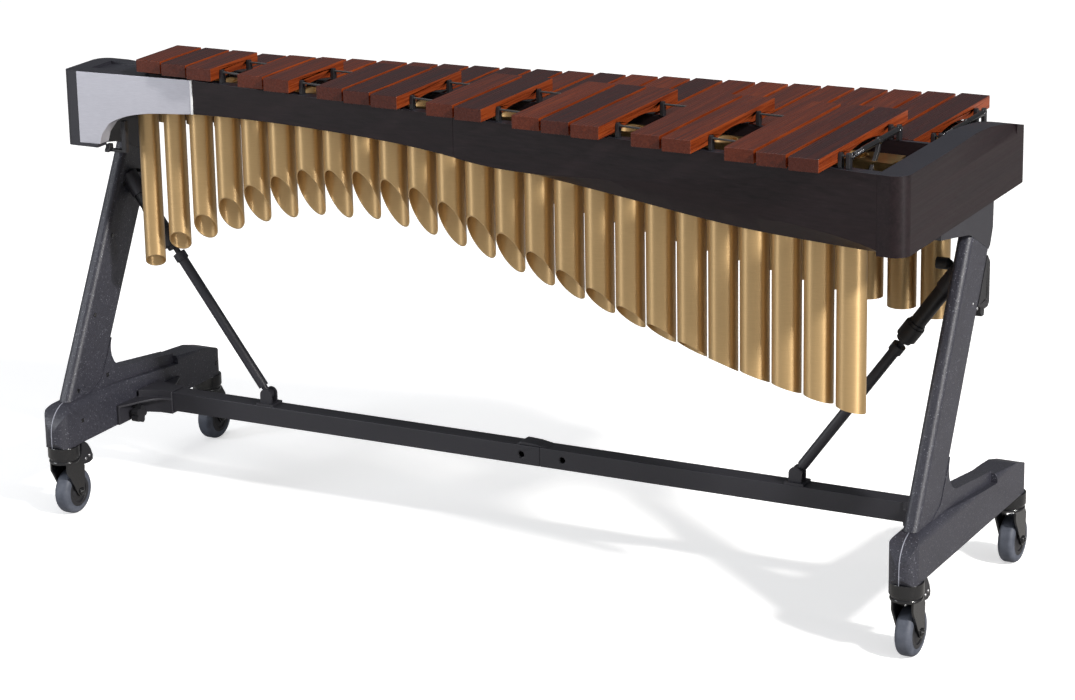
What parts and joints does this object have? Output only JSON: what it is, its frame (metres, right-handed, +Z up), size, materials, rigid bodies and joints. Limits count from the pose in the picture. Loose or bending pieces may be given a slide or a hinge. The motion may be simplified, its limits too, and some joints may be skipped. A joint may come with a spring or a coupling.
{
  "type": "xylophone",
  "caption": "Wheeled concert xylophone: tapered keyboard of undercut wooden bars over slant-cut resonator tubes, arched front rail, leaning height-adjustable legs and braced crossbeam.",
  "frame": {"origin": "on the floor under the centre of the overall box", "axes": "+X towards the low-note end, -Y towards the side with the raised accidental bars, +Z up"},
  "size_m": [1.613, 0.64, 0.8068],
  "materials": {
    "black_plastic": "satin black",
    "black_steel": "black powder coat",
    "bright_trim": "polished",
    "cord": "braided black cord",
    "dark_wood": "dark stained veneer, satin",
    "gold_aluminium": "brushed champagne gold anodised",
    "moulded_grey": "dark grey moulded shell with a fine pebbled texture",
    "rosewood": "polished rosewood, oiled",
    "silver_aluminium": "brushed",
    "steel": "satin",
    "tyre_rubber": "grey rubber tread"
  },
  "bodies": {
    "stand": {"high_foot": "moulded_grey", "low_foot": "moulded_grey", "high_column": "moulded_grey", "low_column": "moulded_grey", "crossbeam_high_half": "black_steel", "crossbeam_low_half": "black_steel", "crossbeam_sleeve": "black_steel", "beam_brackets": "black_steel", "brace_fittings": "black_steel", "caster_sockets": "black_plastic", "clamp_housings": "black_plastic"},
    "keyboard": {"slide_bars": "steel", "frame_gussets": "black_steel", "low_end_panel": "dark_wood", "high_end_panel": "black_plastic", "front_rail_low_half": "dark_wood", "front_rail_high_half": "dark_wood", "silver_end_plate": "silver_aluminium", "trim_strip": "bright_trim", "back_rail": "dark_wood", "inner_rails": "dark_wood", "cord_posts": "black_plastic", "bar_cords": "cord", "cord_springs": "steel", "natural_bars_low": "rosewood", "natural_bars_high": "rosewood", "accidental_bars_low": "rosewood", "accidental_bars_high": "rosewood", "accidental_resonator_tubes": "gold_aluminium", "accidental_resonator_deck": "gold_aluminium", "natural_resonator_tubes": "gold_aluminium", "natural_resonator_deck": "gold_aluminium"},
    "high_front_caster": {"high_front_caster_fork": "black_plastic"},
    "high_front_wheel": {"high_front_wheel_hub": "black_plastic", "high_front_wheel_tyre": "tyre_rubber"},
    "high_front_brake": {"high_front_brake_pedal": "black_plastic"},
    "high_rear_caster": {"high_rear_caster_fork": "black_plastic"},
    "high_rear_wheel": {"high_rear_wheel_hub": "black_plastic", "high_rear_wheel_tyre": "tyre_rubber"},
    "low_front_caster": {"low_front_caster_fork": "black_plastic"},
    "low_front_wheel": {"low_front_wheel_hub": "black_plastic", "low_front_wheel_tyre": "tyre_rubber"},
    "low_front_brake": {"low_front_brake_pedal": "black_plastic"},
    "low_rear_caster": {"low_rear_caster_fork": "black_plastic"},
    "low_rear_wheel": {"low_rear_wheel_hub": "black_plastic", "low_rear_wheel_tyre": "tyre_rubber"},
    "high_front_beam_knob": {"high_front_star_knob": "black_plastic"},
    "high_rear_beam_knob": {"high_rear_star_knob": "black_plastic"},
    "high_height_lock": {"high_height_knob": "black_plastic"},
    "high_column_clamp": {"high_clamp_lever": "black_plastic"},
    "high_brace": {"high_brace_tube": "black_steel"},
    "high_brace_end": {"high_brace_sleeve": "black_plastic"},
    "high_brace_lock": {"high_brace_collar": "black_plastic"},
    "low_front_beam_knob": {"low_front_star_knob": "black_plastic"},
    "low_rear_beam_knob": {"low_rear_star_knob": "black_plastic"},
    "low_height_lock": {"low_height_knob": "black_plastic"},
    "low_column_clamp": {"low_clamp_lever": "black_plastic"},
    "low_brace": {"low_brace_tube": "black_steel"},
    "low_brace_end": {"low_brace_sleeve": "black_plastic"},
    "low_brace_lock": {"low_brace_collar": "black_plastic"}
  },
  "joints": [
    {"name": "height_slide", "type": "slide", "parent": "stand", "child": "keyboard", "axis": [0, 0.4617, 0.887], "range_m": [0, 0.18]},
    {"name": "high_front_swivel", "type": "hinge", "parent": "stand", "child": "high_front_caster", "pos_m": [-0.779, -0.192, 0.1], "axis": [0, 0, 1], "continuous": true},
    {"name": "high_front_wheel_spin", "type": "hinge", "parent": "high_front_caster", "child": "high_front_wheel", "pos_m": [-0.779, -0.172, 0.04], "axis": [1, 0, 0], "continuous": true},
    {"name": "high_front_brake_press", "type": "hinge", "parent": "high_front_caster", "child": "high_front_brake", "pos_m": [-0.779, -0.168, 0.089], "axis": [1, 0, 0], "range_deg": [-12, 0]},
    {"name": "high_rear_swivel", "type": "hinge", "parent": "stand", "child": "high_rear_caster", "pos_m": [-0.779, 0.26, 0.1], "axis": [0, 0, 1], "continuous": true},
    {"name": "high_rear_wheel_spin", "type": "hinge", "parent": "high_rear_caster", "child": "high_rear_wheel", "pos_m": [-0.779, 0.28, 0.04], "axis": [1, 0, 0], "continuous": true},
    {"name": "low_front_swivel", "type": "hinge", "parent": "stand", "child": "low_front_caster", "pos_m": [0.779, -0.192, 0.1], "axis": [0, 0, 1], "continuous": true},
    {"name": "low_front_wheel_spin", "type": "hinge", "parent": "low_front_caster", "child": "low_front_wheel", "pos_m": [0.779, -0.172, 0.04], "axis": [1, 0, 0], "continuous": true},
    {"name": "low_front_brake_press", "type": "hinge", "parent": "low_front_caster", "child": "low_front_brake", "pos_m": [0.779, -0.168, 0.089], "axis": [1, 0, 0], "range_deg": [-12, 0]},
    {"name": "low_rear_swivel", "type": "hinge", "parent": "stand", "child": "low_rear_caster", "pos_m": [0.779, 0.26, 0.1], "axis": [0, 0, 1], "continuous": true},
    {"name": "low_rear_wheel_spin", "type": "hinge", "parent": "low_rear_caster", "child": "low_rear_wheel", "pos_m": [0.779, 0.28, 0.04], "axis": [1, 0, 0], "continuous": true},
    {"name": "high_front_beam_knob_turn", "type": "hinge", "parent": "stand", "child": "high_front_beam_knob", "pos_m": [-0.7496, -0.023, 0.1405], "axis": [1, 0, 0], "continuous": true},
    {"name": "high_rear_beam_knob_turn", "type": "hinge", "parent": "stand", "child": "high_rear_beam_knob", "pos_m": [-0.7496, 0.091, 0.1405], "axis": [1, 0, 0], "continuous": true},
    {"name": "high_height_lock_turn", "type": "hinge", "parent": "stand", "child": "high_height_lock", "pos_m": [-0.7361, 0.058, 0.561], "axis": [1, 0, 0], "continuous": true},
    {"name": "high_column_clamp_release", "type": "hinge", "parent": "stand", "child": "high_column_clamp", "pos_m": [-0.779, 0.095, 0.5], "axis": [1, 0, 0], "range_deg": [0, 35]},
    {"name": "high_brace_swing", "type": "hinge", "parent": "stand", "child": "high_brace", "pos_m": [-0.5, 0.034, 0.192], "axis": [0, 1, 0], "range_deg": [0, 55]},
    {"name": "high_brace_end_slide", "type": "slide", "parent": "high_brace", "child": "high_brace_end", "axis": [-0.5922, 0, 0.8058], "range_m": [-0.009, 0]},
    {"name": "high_brace_lock_turn", "type": "hinge", "parent": "high_brace_end", "child": "high_brace_lock", "pos_m": [-0.68952, 0.034, 0.44984], "axis": [-0.5922, 0, 0.8058], "continuous": true},
    {"name": "low_front_beam_knob_turn", "type": "hinge", "parent": "stand", "child": "low_front_beam_knob", "pos_m": [0.7496, -0.023, 0.1405], "axis": [-1, 0, 0], "continuous": true},
    {"name": "low_rear_beam_knob_turn", "type": "hinge", "parent": "stand", "child": "low_rear_beam_knob", "pos_m": [0.7496, 0.091, 0.1405], "axis": [-1, 0, 0], "continuous": true},
    {"name": "low_height_lock_turn", "type": "hinge", "parent": "stand", "child": "low_height_lock", "pos_m": [0.7361, 0.058, 0.561], "axis": [-1, 0, 0], "continuous": true},
    {"name": "low_column_clamp_release", "type": "hinge", "parent": "stand", "child": "low_column_clamp", "pos_m": [0.779, 0.095, 0.5], "axis": [1, 0, 0], "range_deg": [0, 35]},
    {"name": "low_brace_swing", "type": "hinge", "parent": "stand", "child": "low_brace", "pos_m": [0.5, 0.034, 0.192], "axis": [0, -1, 0], "range_deg": [0, 55]},
    {"name": "low_brace_end_slide", "type": "slide", "parent": "low_brace", "child": "low_brace_end", "axis": [0.5922, 0, 0.8058], "range_m": [-0.009, 0]},
    {"name": "low_brace_lock_turn", "type": "hinge", "parent": "low_brace_end", "child": "low_brace_lock", "pos_m": [0.68952, 0.034, 0.44984], "axis": [0.5922, 0, 0.8058], "continuous": true}
  ]
}
